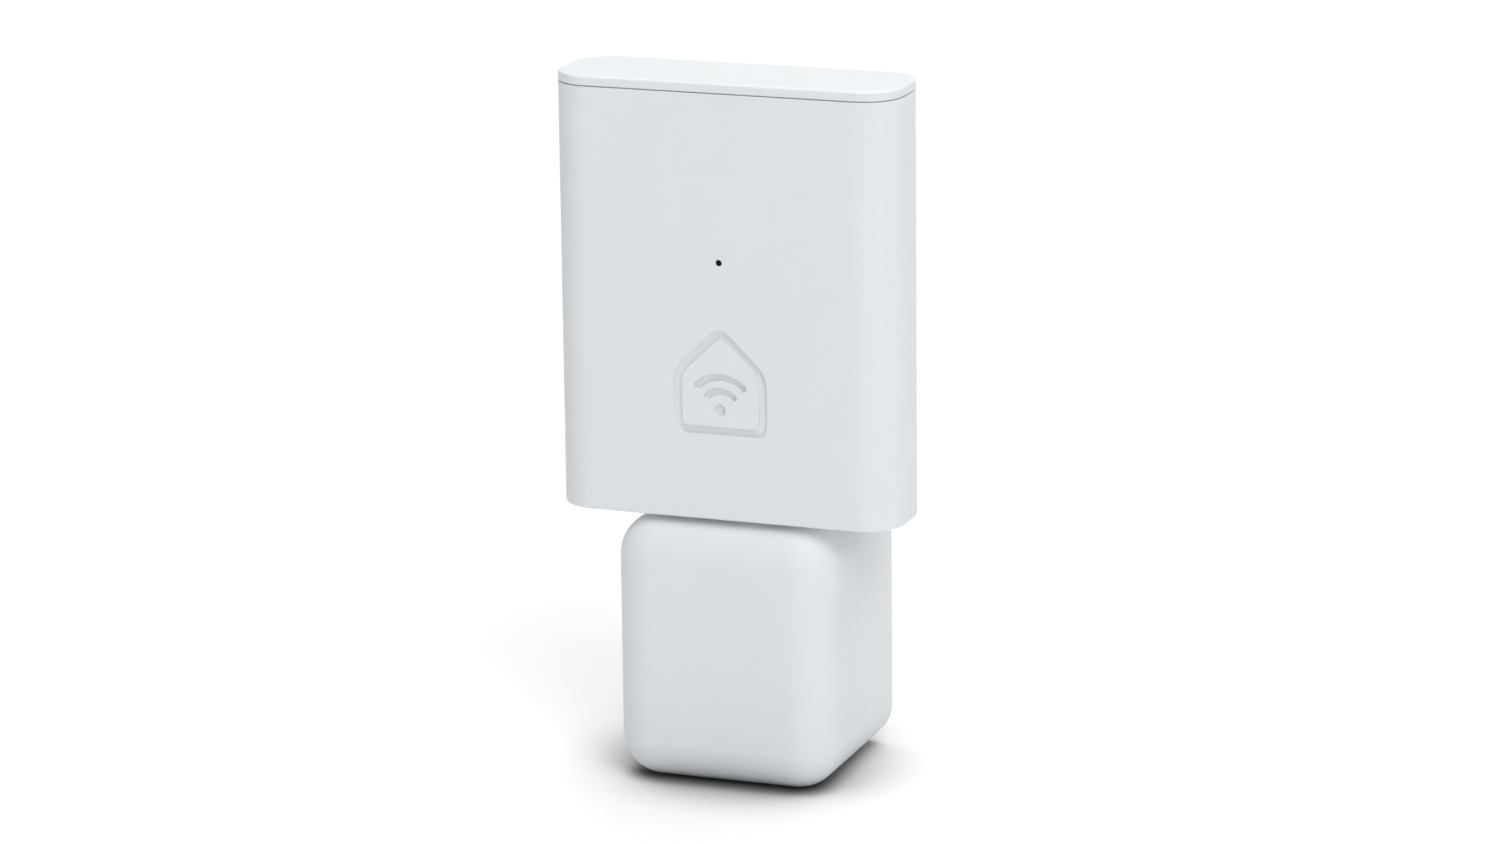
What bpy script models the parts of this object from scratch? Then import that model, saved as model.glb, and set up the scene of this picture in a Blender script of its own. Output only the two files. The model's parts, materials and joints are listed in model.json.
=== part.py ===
"""Smart home hub plugged into the top of a USB wall adapter.

Metres, +Z up, the hub's marked face towards -Y. The origin is the centre of the adapter's
underside. The hub lifts off along +Z, and a reset button on its back moves towards -Y.
Sizes below are in millimetres; MM turns them into metres.
"""

import math

import bmesh
import bpy
from mathutils import Matrix, Vector

MM = 0.001
GAP = 0.3  # between neighbouring pieces
NEAR = 0.1  # between a board and what is soldered to it
CREASE = math.radians(35)

# The wall adapter: a block with round corners and a rounded front.
ADAPTER_W, ADAPTER_D, ADAPTER_H = 28.9, 25.66, 34.34
ADAPTER_CORNER, ADAPTER_WALL = 5.5, 1.6
ADAPTER_FRONT, ADAPTER_BACK = -ADAPTER_D / 2, ADAPTER_D / 2
ADAPTER_MIDDLE = (0.0, ADAPTER_H / 2)
BACK_PLATE = 2.0
PLATE_FRONT = ADAPTER_BACK - BACK_PLATE

# The hub: a slab with round vertical corners, standing on the adapter.
HUB_W, HUB_D, HUB_H = 45.0, 13.8, 55.4
HUB_CORNER, HUB_WALL = 5.0, 1.5
HUB_Y = -3.72
HUB_Z = ADAPTER_H + GAP
HUB_TOP = HUB_Z + HUB_H
HUB_FRONT, HUB_BACK = HUB_Y - HUB_D / 2, HUB_Y + HUB_D / 2
INNER_FRONT, INNER_BACK = HUB_FRONT + HUB_WALL, HUB_BACK - HUB_WALL
CAP_RIM, SEAM = 1.1, 0.24
RIM_Z = HUB_TOP - CAP_RIM
SEAM_Z = RIM_Z - SEAM

# Four catches hold the cap: their places, and how far below the seam they reach.
CATCH_X, CATCH_HALF, CATCH_NOSE, CATCH_REACH = 12.0, 3.0, 0.55, 5.9

# What the hub's front and back faces carry.
LED_Z, LED_HOLE = HUB_Z + 32.9, 0.8
EMBLEM_Z, EMBLEM_GROOVE, EMBLEM_DEPTH = HUB_Z + 17.9, 1.1, 0.45
BUTTON_Z, BUTTON_R, BUTTON_FLANGE = HUB_Z + 26.0, 2.2, 0.9

# USB-A plug and port, both centred on the hub's depth.
PLUG_W, PLUG_T, PLUG_OUT, PLUG_IN = 12.0, 4.5, 12.0, 7.6
PORT_W, PORT_T = 12.5, 5.12
PORT_TOP, PORT_FLOOR = ADAPTER_H - 0.4, 20.4
USB_SHEET = 0.3
CONTACT_X = (-3.5, -1.0, 1.0, 3.5)
CONTACT_W, CONTACT_T, GROOVE_W = 1.0, 0.2, 1.3
PLUG_FACE, PORT_FACE = HUB_Y - 0.05, HUB_Y + 0.2

# Mains blades.
BLADE_PITCH, BLADE_T, BLADE_H, BLADE_OUT = 12.7, 1.5, 6.35, 16.5
BLADE_Z, BLADE_HOLE_R, BLADE_HOLE_BACK = 17.2, 1.55, 4.2

# Circuit boards: the Y faces of the upright ones, the Z faces of the flat one.
MAIN_FRONT, MAIN_BACK = 5.6, 6.8
PORT_BOARD_LOW, PORT_BOARD_HIGH = 18.5, 19.5
HUB_BOARD_FRONT, HUB_BOARD_BACK = HUB_Y + 0.9, HUB_Y + 1.9
HUB_BOARD_HALF = 19.4

# The transformer's middle, and its core's half sizes, yoke and middle leg.
COIL_X, COIL_Y, COIL_Z = -4.2, -0.6, 11.2
CORE_X, CORE_Y, CORE_Z, YOKE, LEG = 6.6, 2.8, 6.3, 1.8, 1.6

tools = []


def material(name, colour, roughness, metallic=0.0):
    made = bpy.data.materials.new(name)
    made.use_nodes = True
    shader = made.node_tree.nodes["Principled BSDF"]
    shader.inputs["Base Color"].default_value = (*colour, 1.0)
    shader.inputs["Roughness"].default_value = roughness
    shader.inputs["Metallic"].default_value = metallic
    made.diffuse_color = (*colour, 1.0)
    return made


# Bodies ---------------------------------------------------------------------------------


def solid(name, bm, look):
    """An object from a closed bmesh in millimetres, with its origin at its middle.

    Without a look it is a tool: a shape that only cuts or extends another.
    """
    bmesh.ops.recalc_face_normals(bm, faces=bm.faces)
    bmesh.ops.scale(bm, vec=(MM, MM, MM), verts=bm.verts)
    low, high = (Vector(pick(v.co[i] for v in bm.verts) for i in range(3)) for pick in (min, max))
    middle = (low + high) / 2
    bmesh.ops.translate(bm, vec=-middle, verts=bm.verts)
    mesh = bpy.data.meshes.new(name)
    bm.to_mesh(mesh)
    bm.free()
    mesh.shade_smooth()
    mesh.set_sharp_from_angle(angle=CREASE)
    obj = bpy.data.objects.new(name, mesh)
    obj.location = middle
    bpy.context.collection.objects.link(obj)
    if look:
        mesh.materials.append(look)
    else:
        obj.hide_render = True
        obj.display_type = "WIRE"
        tools.append(obj)
    return obj


def place(point, height, axis):
    """A point of an outline and its height along the axis, as X, Y, Z."""
    u, v = point
    return {"X": (height, u, v), "Y": (u, height, v), "Z": (u, v, height)}[axis]


def loft(name, rings, look, axis="Z", closed=False):
    """A body from (outline, height) rings joined in order; closed joins the last to the first."""
    bm = bmesh.new()
    rows = [[bm.verts.new(place(p, height, axis)) for p in ring] for ring, height in rings]
    pairs = list(zip(rows, rows[1:]))
    if closed:
        pairs.append((rows[-1], rows[0]))
    else:
        bm.faces.new(rows[0])
        bm.faces.new(rows[-1])
    for low, high in pairs:
        for i in range(len(low)):
            j = (i + 1) % len(low)
            bm.faces.new((low[i], low[j], high[j], high[i]))
    return solid(name, bm, look)


def prism(name, outline, low, high, look, axis="Z", edge=0.0):
    """An outline raised from low to high, its edges at both ends taken off by edge."""
    if not edge:
        return loft(name, [(outline, low), (outline, high)], look, axis)
    small = inset(outline, edge)
    rings = [(small, low), (outline, low + edge), (outline, high - edge), (small, high)]
    return loft(name, rings, look, axis)


def turned(name, profile, centre, look, axis="Z", steps=20):
    """A body turned about an axis through centre, from (radius, height) pairs."""
    rings = [(circle(radius, steps, centre), height) for radius, height in profile]
    return loft(name, rings, look, axis)


def block(name, low, high, look=None, edge=0.0):
    """A box between two opposite corners, with all its edges bevelled by edge."""
    bm = bmesh.new()
    bmesh.ops.create_cube(bm, size=1.0)
    bmesh.ops.scale(bm, vec=[abs(b - a) for a, b in zip(low, high)], verts=bm.verts)
    bmesh.ops.translate(bm, vec=[(a + b) / 2 for a, b in zip(low, high)], verts=bm.verts)
    if edge:
        bmesh.ops.bevel(bm, geom=bm.edges[:], offset=edge, segments=1, affect="EDGES")
    return solid(name, bm, look)


# Outlines -------------------------------------------------------------------------------


def circle(radius, steps, centre=(0.0, 0.0)):
    turns = [math.tau * i / steps for i in range(steps)]
    return [(centre[0] + radius * math.cos(t), centre[1] + radius * math.sin(t)) for t in turns]


def rounded_rect(width, height, radius, steps, centre=(0.0, 0.0)):
    """A rectangle with round corners, anticlockwise."""
    points = []
    for quarter, (across, up) in enumerate(((1, 1), (-1, 1), (-1, -1), (1, -1))):
        u = centre[0] + across * (width / 2 - radius)
        v = centre[1] + up * (height / 2 - radius)
        for i in range(steps + 1):
            angle = math.radians(90 * (quarter + i / steps))
            points.append((u + radius * math.cos(angle), v + radius * math.sin(angle)))
    return points


def inset(outline, distance):
    """The outline moved inwards by distance, corner by corner."""
    points = [Vector(p) for p in outline]
    area = sum(a.cross(b) for a, b in zip(points, points[1:] + points[:1]))
    sign = 1 if area > 0 else -1
    moved = []
    for i, here in enumerate(points):
        before = (here - points[i - 1]).normalized()
        after = (points[(i + 1) % len(points)] - here).normalized()
        inward = Vector((-before.y - after.y, before.x + after.x)).normalized() * sign
        lean = inward.dot(Vector((-before.y, before.x)) * sign)
        moved.append(tuple(here + inward * distance / lean))
    return moved


def rounded_polygon(corners, radius, steps):
    """A polygon with each corner replaced by a short curve."""
    points = []
    for i, corner in enumerate(corners):
        here = Vector(corner)
        start = here + (Vector(corners[i - 1]) - here).normalized() * radius
        end = here + (Vector(corners[(i + 1) % len(corners)]) - here).normalized() * radius
        for step in range(steps + 1):
            t = step / steps
            points.append(tuple(start * (1 - t) ** 2 + here * 2 * t * (1 - t) + end * t**2))
    return points


def strip(line, width):
    """The outline of a flat strip along a line, mitred where the line turns."""
    points = [Vector(p) for p in line]
    left, right = [], []
    for i, here in enumerate(points):
        before = (here - points[max(i, 1) - 1]) if i else (points[1] - here)
        after = (points[i + 1] - here) if i + 1 < len(points) else before
        sides = [Vector((-d.y, d.x)).normalized() for d in (before, after)]
        across = (sides[0] + sides[1]).normalized()
        reach = across * width / 2 / across.dot(sides[0])
        left.append(tuple(here + reach))
        right.append(tuple(here - reach))
    return left + right[::-1]


def hub_outline(shrink):
    """The hub's plan, moved inwards by shrink."""
    size = (HUB_W - 2 * shrink, HUB_D - 2 * shrink)
    return rounded_rect(*size, HUB_CORNER - shrink, 8, (0.0, HUB_Y))


def adapter_outline(shrink):
    """The adapter seen from the front, moved inwards by shrink."""
    size = (ADAPTER_W - 2 * shrink, ADAPTER_H - 2 * shrink)
    return rounded_rect(*size, ADAPTER_CORNER - shrink, 8, ADAPTER_MIDDLE)


def adapter_front_rings(shrink, steps=8):
    """Rings of the adapter's rounded front, from its flat face back to its full outline."""
    bend = ADAPTER_CORNER - shrink - 0.15
    rings = []
    for i in range(steps + 1):
        angle = math.pi / 2 * i / steps
        ring = adapter_outline(shrink + bend * (1 - math.sin(angle)))
        rings.append((ring, ADAPTER_FRONT + shrink + bend * (1 - math.cos(angle))))
    return rings


# Changes to bodies ----------------------------------------------------------------------


def boolean(target, tool, operation):
    modifier = target.modifiers.new(tool.name, "BOOLEAN")
    modifier.operation = operation
    modifier.solver = "EXACT"
    modifier.object = tool


def cut(target, *shapes):
    for shape in shapes:
        boolean(target, shape, "DIFFERENCE")


def fuse(target, *shapes):
    for shape in shapes:
        boolean(target, shape, "UNION")


def settle():
    """Works the Booleans into the meshes, creases them again and removes the tools."""
    graph = bpy.context.evaluated_depsgraph_get()
    shaped = [obj for obj in bpy.data.objects if obj.modifiers]
    meshes = [bpy.data.meshes.new_from_object(obj.evaluated_get(graph)) for obj in shaped]
    for obj, mesh in zip(shaped, meshes):
        obj.modifiers.clear()
        obj.data = mesh
        mesh.name = obj.name
        mesh.shade_smooth()
        mesh.set_sharp_from_angle(angle=CREASE)
    for tool in tools:
        bpy.data.objects.remove(tool)


def ride_on_joint(name, point, pieces, parent=None):
    """An empty on a joint's axis that carries the pieces which move with it."""
    joint = bpy.data.objects.new(name, None)
    joint.location = Vector(point) * MM
    bpy.context.collection.objects.link(joint)
    if parent:
        joint.parent = parent
        joint.matrix_parent_inverse = Matrix.Translation(-parent.location)
    for piece in pieces:
        piece.parent = joint
        piece.matrix_parent_inverse = Matrix.Translation(-joint.location)
    return joint


# The hub --------------------------------------------------------------------------------


def build_hub_housing(look):
    """A deep sleeve with a closed bottom, and what is moulded into its walls."""
    rings = [
        (hub_outline(0.35), HUB_Z),
        (hub_outline(0.1), HUB_Z + 0.1),
        (hub_outline(0.0), HUB_Z + 0.35),
        (hub_outline(0.0), SEAM_Z - 0.12),
        (hub_outline(0.12), SEAM_Z),
        (hub_outline(HUB_WALL), SEAM_Z),
        (hub_outline(HUB_WALL), HUB_Z + HUB_WALL),
    ]
    housing = loft("hub_housing", rings, look)
    fuse(housing, *board_rails(), led_collar())
    led = [(LED_HOLE / 2, HUB_FRONT - 1), (LED_HOLE / 2, INNER_FRONT + 1)]
    button = [(BUTTON_R + GAP, INNER_BACK - 1), (BUTTON_R + GAP, HUB_BACK + 1)]
    slot = rounded_rect(PLUG_W + 2 * GAP, PLUG_T + 2 * GAP, 0.8, 3, (0.0, HUB_Y))
    cut(
        housing,
        turned("led_hole", led, (0.0, LED_Z), None, "Y", 16),
        turned("button_hole", button, (0.0, BUTTON_Z), None, "Y", 28),
        prism("plug_slot", slot, HUB_Z - 1, HUB_Z + HUB_WALL + 1, None),
        *catch_pockets(),
        *emblem_grooves(),
    )
    return housing


def board_rails():
    """Pairs of ribs on both short sides that hold the main board's edges."""
    thick, reach = 1.0, 2.2
    wall_x = HUB_W / 2 - HUB_WALL
    rails = []
    for side in (-1, 1):
        for y in (HUB_BOARD_FRONT - GAP - thick, HUB_BOARD_BACK + GAP):
            low = (side * (wall_x - reach), y, HUB_Z + 1.0)
            high = (side * (wall_x + 0.5), y + thick, SEAM_Z - CATCH_REACH)
            rails.append(block(f"rail_{side}_{y:.0f}", low, high))
    return rails


def led_collar():
    """A short tube behind the front wall, round the light pipe."""
    low, high = INNER_FRONT - 0.5, INNER_FRONT + 2.4
    outer, inner = (circle(radius, 16, (0.0, LED_Z)) for radius in (2.2, 1.6))
    rings = [(outer, low), (outer, high), (inner, high), (inner, low)]
    return loft("led_collar", rings, None, "Y", closed=True)


def catch_places():
    """Each catch's X, and +1 or -1 for the back or the front wall."""
    return [(x, side) for x in (-CATCH_X, CATCH_X) for side in (-1, 1)]


def catch_pockets():
    pockets = []
    for x, side in catch_places():
        wall = HUB_Y + side * (HUB_D / 2 - HUB_WALL)
        low = (x - CATCH_HALF - 0.4, wall - 0.5 * side, SEAM_Z - CATCH_REACH - 0.1)
        high = (x + CATCH_HALF + 0.4, wall + 0.7 * side, SEAM_Z - CATCH_REACH + 2.0)
        pockets.append(block(f"pocket_{x:.0f}_{side}", low, high))
    return pockets


def emblem_grooves():
    """A generic mark pressed into the front: a house with a signal inside."""
    low, high = HUB_FRONT - 1.0, HUB_FRONT + EMBLEM_DEPTH
    half, floor, eaves, ridge = 5.6, -6.4, 0.9, 6.3
    corners = ((-half, floor), (half, floor), (half, eaves), (0.0, ridge), (-half, eaves))
    walls = [(x, EMBLEM_Z + z) for x, z in corners]
    outer, inner = (
        rounded_polygon(inset(walls, reach * EMBLEM_GROOVE / 2), radius, 4)
        for reach, radius in ((-1, 1.7), (1, 0.9))
    )
    rings = [(outer, low), (outer, high), (inner, high), (inner, low)]
    shapes = [loft("house_groove", rings, None, "Y", closed=True)]
    source = (0.0, EMBLEM_Z - 3.7)
    shapes.append(turned("signal_dot", [(0.75, low), (0.75, high)], source, None, "Y", 16))
    for radius in (2.4, 4.2):
        angles = [math.radians(45 + 90 * i / 12) for i in range(13)]
        arc = [(source[0] + radius * math.cos(a), source[1] + radius * math.sin(a)) for a in angles]
        outline = strip(arc, 0.85 * EMBLEM_GROOVE)
        shapes.append(prism(f"signal_{radius:.0f}", outline, low, high, None, "Y"))
    return shapes


def build_hub_cap(look):
    """The lid: a rim above the seam, a skirt inside the housing and four catches."""
    fit, thick = HUB_WALL + 0.2, 1.0
    rings = [
        (hub_outline(0.45), HUB_TOP),
        (hub_outline(0.14), HUB_TOP - 0.12),
        (hub_outline(0.0), HUB_TOP - 0.4),
        (hub_outline(0.0), RIM_Z + 0.1),
        (hub_outline(0.1), RIM_Z),
        (hub_outline(fit), RIM_Z),
        (hub_outline(fit), SEAM_Z - 2.6),
        (hub_outline(fit + thick), SEAM_Z - 2.6),
        (hub_outline(fit + thick), HUB_TOP - 1.5),
    ]
    cap = loft("hub_top_cap", rings, look)
    tip = SEAM_Z - CATCH_REACH
    for x, side in catch_places():
        face = HUB_Y + side * (HUB_D / 2 - fit - 0.05)
        inside, nose = face - side * (thick - 0.05), face + side * CATCH_NOSE
        outline = [
            (inside, tip),
            (inside, SEAM_Z - 2.0),
            (face, SEAM_Z - 2.0),
            (face, tip + 1.7),
            (nose, tip + 1.5),
            (nose, tip + 1.1),
            (face, tip),
        ]
        catch = prism(f"catch_{x:.0f}_{side}", outline, x - CATCH_HALF, x + CATCH_HALF, None, "X")
        fuse(cap, catch)
    return cap


def build_plug(metal, plastic, gold):
    """The hub's USB-A plug, pointing down, its contacts facing the back."""
    low, high = HUB_Z - PLUG_OUT, HUB_Z + PLUG_IN
    centre = (0.0, HUB_Y)
    outer = rounded_rect(PLUG_W, PLUG_T, 0.6, 3, centre)
    nose = rounded_rect(PLUG_W - 0.24, PLUG_T - 0.24, 0.5, 3, centre)
    inner = rounded_rect(PLUG_W - 2 * USB_SHEET, PLUG_T - 2 * USB_SHEET, 0.35, 3, centre)
    rings = [(nose, low), (outer, low + 0.5), (outer, high), (inner, high), (inner, low)]
    shell = loft("usb_plug_shell", rings, metal, closed=True)
    window_x, window_half = 2.9, 1.15
    for x in (-window_x, window_x):
        corner = (x - window_half, HUB_Y - PLUG_T, HUB_Z - 7.0)
        opposite = (x + window_half, HUB_Y + PLUG_T, HUB_Z - 5.1)
        cut(shell, block(f"window_{x}", corner, opposite))

    half = PLUG_W / 2 - USB_SHEET - NEAR
    base = HUB_Y - PLUG_T / 2 + USB_SHEET + NEAR
    corner, opposite = (-half, base, low + 0.3), (half, PLUG_FACE, high - 0.4)
    insulator = block("usb_plug_insulator", corner, opposite, plastic, 0.15)
    pieces = [shell, insulator]
    for number, x in enumerate(CONTACT_X, 1):
        length = 8.6 if number in (1, 4) else 7.8
        span = (low + 1.0, low + 1.2 + length)
        pieces.append(contact(f"usb_plug_contact_{number}", x, PLUG_FACE, -1, span, insulator, gold))
    return pieces


def contact(name, x, face, inward, span, carrier, gold):
    """A contact strip flush with a carrier's face, and the groove it lies in."""
    low, high = span
    deep, open_side = face + inward * (CONTACT_T + NEAR), face - inward
    corner = (x - GROOVE_W / 2, deep, low - NEAR)
    opposite = (x + GROOVE_W / 2, open_side, high + NEAR)
    cut(carrier, block(f"{name}_groove", corner, opposite))
    corner = (x - CONTACT_W / 2, face, low)
    opposite = (x + CONTACT_W / 2, face + inward * CONTACT_T, high)
    return block(name, corner, opposite, gold, 0.05)


def build_hub_board(board, looks):
    """The hub's main board and what stands on its front."""
    low, high, notch = HUB_Z + 2.6, SEAM_Z - 3.6, HUB_Z + PLUG_IN + 0.6
    half, notch_half, chamfer = HUB_BOARD_HALF, PLUG_W / 2 + 0.6, 1.5
    outline = [
        (-half, low),
        (-notch_half, low),
        (-notch_half, notch),
        (notch_half, notch),
        (notch_half, low),
        (half, low),
        (half, high - chamfer),
        (half - chamfer, high),
        (chamfer - half, high),
        (-half, high - chamfer),
    ]
    face = HUB_BOARD_FRONT
    inductor = rounded_rect(4.4, 4.4, 1.2, 3, (13.0, HUB_Z + 9.0))
    pieces = [
        prism("hub_main_board", outline, HUB_BOARD_FRONT, HUB_BOARD_BACK, board, "Y"),
        can("radio_shield", (-10.0, HUB_Z + 21.0), (14.0, 12.0, 2.0), face, looks["tin"]),
        chip("flash_chip", (6.0, HUB_Z + 24.0), (3.9, 5.0, 1.4), face, -1, looks["chip"], 4),
        chip("clock_crystal", (14.0, HUB_Z + 24.0), (3.2, 2.5, 0.8), face, -1, looks["tin"]),
        chip("voltage_regulator", (-13.0, HUB_Z + 8.6), (3.5, 6.5, 1.6), face, -1, looks["chip"], 2),
        prism("power_inductor", inductor, face - 2.3, face - NEAR, looks["ferrite"], "Y", GAP),
        chip("status_led", (0.0, LED_Z), (1.6, 0.9, 0.6), face, -1, looks["led"]),
    ]
    for number, x in enumerate((4.6, 12.6), 1):
        pieces.append(
            capacitor(
                f"hub_capacitor_{number}", (x, HUB_Z + 15.6), 2.3, (face - NEAR, face - 5.2),
                looks["can"], "Y",
            )
        )
    return pieces + build_light_pipe(looks["pipe"]) + build_wireless_module(looks)


def build_light_pipe(look):
    """A dark peg that carries the LED's light through the pinhole, almost to the surface."""
    narrow, wide = 0.28, 1.1
    profile = [
        (narrow, HUB_FRONT + 0.2),
        (narrow, INNER_FRONT + 0.3),
        (wide, INNER_FRONT + 0.6),
        (wide, HUB_BOARD_FRONT - 1.4),
        (wide - 0.3, HUB_BOARD_FRONT - 0.95),
    ]
    return [turned("led_light_pipe", profile, (0.0, LED_Z), look, "Y", 16)]


def build_wireless_module(looks):
    """A small board on the main board with a shield and a printed antenna above it."""
    module_z, module_w, module_h = HUB_Z + 43.4, 18.0, 16.0
    face = HUB_BOARD_FRONT - 0.9
    outline = rounded_rect(module_w, module_h, 0.4, 2, (0.0, module_z))
    pitch, turns, half_height = 1.9, 7, 1.2
    antenna_z = module_z + module_h / 2 - 2.1
    line = []
    for i in range(turns + 1):
        x = pitch * (i - turns / 2)
        rise = half_height if i % 2 else -half_height
        line += [(x, antenna_z + rise), (x, antenna_z - rise)]
    return [
        prism("wifi_module_board", outline, face, HUB_BOARD_FRONT - NEAR, looks["module"], "Y"),
        can("wifi_module_shield", (0.0, module_z - 1.9), (15.6, 11.0, 2.2), face, looks["tin"]),
        prism("wifi_antenna", strip(line, 0.45), face - 0.22, face - NEAR, looks["gold"], "Y"),
    ]


def build_button(white, dark, black):
    """Reset switch on the back of the board; its plunger and the cap in the back wall move."""
    centre = (0.0, BUTTON_Z)
    base = HUB_BOARD_BACK + NEAR
    outline = rounded_rect(4.6, 4.6, 0.4, 2, centre)
    switch = prism("reset_switch_body", outline, base, base + 1.6, dark, "Y", 0.15)
    bore = [(1.25, base + 0.7), (1.25, base + 3)]
    cut(switch, turned("plunger_bore", bore, centre, None, "Y"))
    stem = [(0.8, base + 1.1), (1.0, base + 1.3), (1.0, base + 2.2), (0.85, base + 2.35)]
    plunger = turned("reset_switch_plunger", stem, centre, black, "Y")
    flange = BUTTON_R + BUTTON_FLANGE
    cap = [
        (flange, base + 2.45),
        (flange, INNER_BACK - GAP),
        (BUTTON_R, INNER_BACK - GAP),
        (BUTTON_R, HUB_BACK - 0.3),
        (BUTTON_R - 0.1, HUB_BACK - 0.14),
        (BUTTON_R - 0.3, HUB_BACK - 0.1),
    ]
    return switch, [plunger, turned("reset_button", cap, centre, white, "Y", 28)]


# Small parts on boards ------------------------------------------------------------------


def chip(name, middle, size, face, toward, look, legs=0):
    """A chip on a board's face: a body with tapered edges and flat legs down both sides."""
    (x, z), (width, height, thick) = middle, size
    start = face + NEAR * toward
    low, high = sorted((start, start + thick * toward))
    body = prism(name, rounded_rect(width, height, 0.15, 1, middle), low, high, look, "Y", 0.12)
    for side in (-1, 1):
        for i in range(legs):
            leg_z = z + (i + 0.5 - legs / 2) * height / legs
            corner = (x + side * (width / 2 - 0.3), start + 0.02 * toward, leg_z - 0.2)
            opposite = (x + side * (width / 2 + 0.8), start + 0.32 * toward, leg_z + 0.2)
            fuse(body, block(f"{name}_leg_{side}_{i}", corner, opposite))
    return body


def can(name, middle, size, face, look):
    """A shield of thin sheet on the front of a board, open towards the board."""
    width, height, thick = size
    sheet = 0.25
    near, far = face - NEAR, face - NEAR - thick
    outer, small, inner = (
        rounded_rect(width - 2 * d, height - 2 * d, 0.6 - d, 3, middle) for d in (0.0, 0.2, sheet)
    )
    rings = [(small, far), (outer, far + 0.2), (outer, near), (inner, near), (inner, far + sheet)]
    return loft(name, rings, look, "Y")


def capacitor(name, centre, radius, span, look, axis):
    """A can from its sealed end, with the groove there, to its rounded far end."""
    start, end = span
    sign = 1 if end > start else -1
    profile = [
        (radius - 0.3, start),
        (radius, start + 0.3 * sign),
        (radius, start + 1.2 * sign),
        (radius - 0.35, start + 1.6 * sign),
        (radius, start + 2.0 * sign),
        (radius, end - 0.4 * sign),
        (radius - 0.4, end),
    ]
    return turned(name, profile, centre, look, axis)


# The adapter ----------------------------------------------------------------------------


def build_adapter_case(look, metal, bronze):
    """The shell, open at the back, the plate that closes it, and the mains blades."""
    outside = adapter_front_rings(0.0)
    outside += [(adapter_outline(0.0), ADAPTER_BACK - 0.25), (adapter_outline(0.2), ADAPTER_BACK)]
    inside = adapter_front_rings(ADAPTER_WALL)
    inside.append((adapter_outline(ADAPTER_WALL), ADAPTER_BACK))
    shell = loft("adapter_shell", outside + inside[::-1], look, "Y")
    opening = rounded_rect(PORT_W + 1.2, PORT_T + 1.2, 0.9, 3, (0.0, HUB_Y))
    cut(shell, prism("port_opening", opening, ADAPTER_H - 4, ADAPTER_H + 1, None))
    wall_x = ADAPTER_W / 2 - ADAPTER_WALL
    for side in (-1, 1):
        corner = (side * (wall_x - 1.3), MAIN_FRONT - 1.5, 5.5)
        opposite = (side * (wall_x + 0.5), MAIN_FRONT - GAP, PORT_BOARD_LOW - 1.0)
        fuse(shell, block(f"board_stop_{side}", corner, opposite))

    outline = adapter_outline(ADAPTER_WALL + 0.2)
    plate = prism("adapter_back_plate", outline, PLATE_FRONT, ADAPTER_BACK, look, "Y")
    for side, word in ((-1, "left"), (1, "right")):
        x = side * BLADE_PITCH / 2
        slot = rounded_rect(BLADE_T + 0.5, BLADE_H + 0.5, 0.3, 2, (x, BLADE_Z))
        cut(plate, prism(f"blade_slot_{word}", slot, PLATE_FRONT - 1, ADAPTER_BACK + 1, None, "Y"))
        build_blade(f"prong_{word}", x, metal)
        build_blade_contact(f"prong_contact_{word}", x, bronze)


def build_blade(name, x, metal):
    """A flat blade with a shoulder behind the back plate and a hole near its tip."""
    tip, half, shoulder = ADAPTER_BACK + BLADE_OUT, BLADE_H / 2, 1.0
    root, stop = PLATE_FRONT - 2.0, PLATE_FRONT - GAP
    upper = [
        (root, half + shoulder),
        (stop, half + shoulder),
        (stop, half),
        (tip - 2.2, half),
        (tip - 0.6, half - 0.8),
        (tip, half - 2.0),
    ]
    outline = [(y, BLADE_Z + rise) for y, rise in upper]
    outline += [(y, BLADE_Z - rise) for y, rise in reversed(upper)]
    small = inset(outline, 0.18)
    low, high = x - BLADE_T / 2, x + BLADE_T / 2
    rings = [(small, low), (outline, low + 0.3), (outline, high - 0.3), (small, high)]
    blade = loft(name, rings, metal, "X")
    bore = [(BLADE_HOLE_R, low - 1), (BLADE_HOLE_R, high + 1)]
    cut(blade, turned(f"{name}_hole", bore, (tip - BLADE_HOLE_BACK, BLADE_Z), None, "X"))


def build_blade_contact(name, x, look):
    """A strip folded in a Z between a blade's root and the main board."""
    low, high = MAIN_BACK + NEAR, PLATE_FRONT - 2.0 - NEAR
    sheet, half = 0.3, 1.6
    line = [(x - 2.0, low), (x + 1.55, low), (x + 1.55, high - sheet), (x - 1.4, high - sheet)]
    outline = strip([(u, v + sheet / 2) for u, v in line], sheet)
    prism(name, outline, BLADE_Z - half, BLADE_Z + half, look)


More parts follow.
